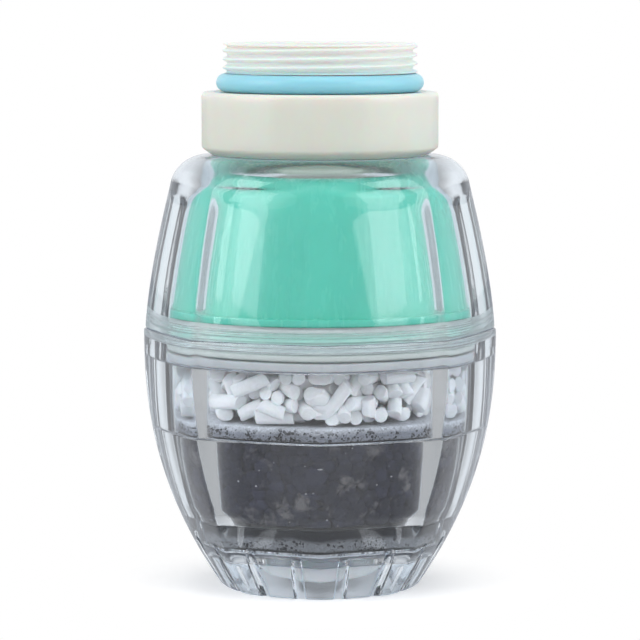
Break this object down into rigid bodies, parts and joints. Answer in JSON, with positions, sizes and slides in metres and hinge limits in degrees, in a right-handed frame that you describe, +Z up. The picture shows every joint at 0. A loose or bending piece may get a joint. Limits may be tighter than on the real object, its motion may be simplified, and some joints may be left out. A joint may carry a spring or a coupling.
{
  "type": "faucet mount water filter",
  "caption": "Clear eight-sided tap water filter in two screwed halves, with a threaded white adapter, a green bell, white mineral rods, felts and carbon.",
  "frame": {"origin": "centre of the outlet skirt's rim, on the surface that the filter stands on", "axes": "+Z up along the filter's axis, from the outlet to the inlet neck; +X and +Y each pass through a ridge of the eight-sided housings"},
  "size_m": [0.0604, 0.0604, 0.093],
  "materials": {
    "clear_plastic": "thick clear moulded plastic, polished",
    "milky_plastic": "milky moulded plastic",
    "steel": "thin perforated stainless steel",
    "felt": "white felt greyed by carbon dust",
    "carbon": "packed carbon granules, dull with a few glints",
    "mineral": "matt white pressed rods with broken ends",
    "silicone": "cream silicone",
    "green_plastic": "mint green moulded plastic, satin",
    "cotton": "loose white fibre",
    "adapter_white": "off-white, slightly translucent moulded plastic",
    "washer_rubber": "grey flat washer",
    "ring_blue": "light blue silicone, satin"
  },
  "bodies": {
    "lower_housing": {"lower_housing": "clear_plastic", "outlet_strainer": "milky_plastic", "outlet_mesh": "steel", "lower_felt": "felt", "carbon_bed": "carbon", "upper_felt": "felt", "rod_bed": "mineral", "media_lid": "milky_plastic"},
    "seam_gasket": {"seam_gasket": "silicone"},
    "upper_housing": {"upper_housing": "clear_plastic", "green_bell": "green_plastic", "bell_cap": "green_plastic", "bell_felt": "cotton", "cotton_pad": "cotton", "bell_gasket": "silicone"},
    "adapter_washer": {"adapter_washer": "washer_rubber"},
    "inlet_adapter": {"inlet_adapter": "adapter_white", "neck_o_ring": "ring_blue", "inlet_screen": "steel"}
  },
  "joints": [
    {"name": "housing_lift", "type": "slide", "parent": "lower_housing", "child": "seam_gasket", "axis": [0, 0, 1], "range_m": [0, 0.00152]},
    {"name": "housing_turn", "type": "hinge", "parent": "seam_gasket", "child": "upper_housing", "pos_m": [0, 0, 0.04435], "axis": [0, 0, 1], "range_deg": [0, 360]},
    {"name": "adapter_lift", "type": "slide", "parent": "upper_housing", "child": "adapter_washer", "axis": [0, 0, 1], "range_m": [0, 0.00677]},
    {"name": "adapter_turn", "type": "hinge", "parent": "adapter_washer", "child": "inlet_adapter", "pos_m": [0, 0, 0.0743], "axis": [0, 0, 1], "range_deg": [0, 1620]}
  ],
  "couplings": [
    {"joint": "housing_lift", "follows": "housing_turn", "m_per_rad": 0.00023873},
    {"joint": "adapter_lift", "follows": "adapter_turn", "m_per_rad": 0.00023873}
  ]
}
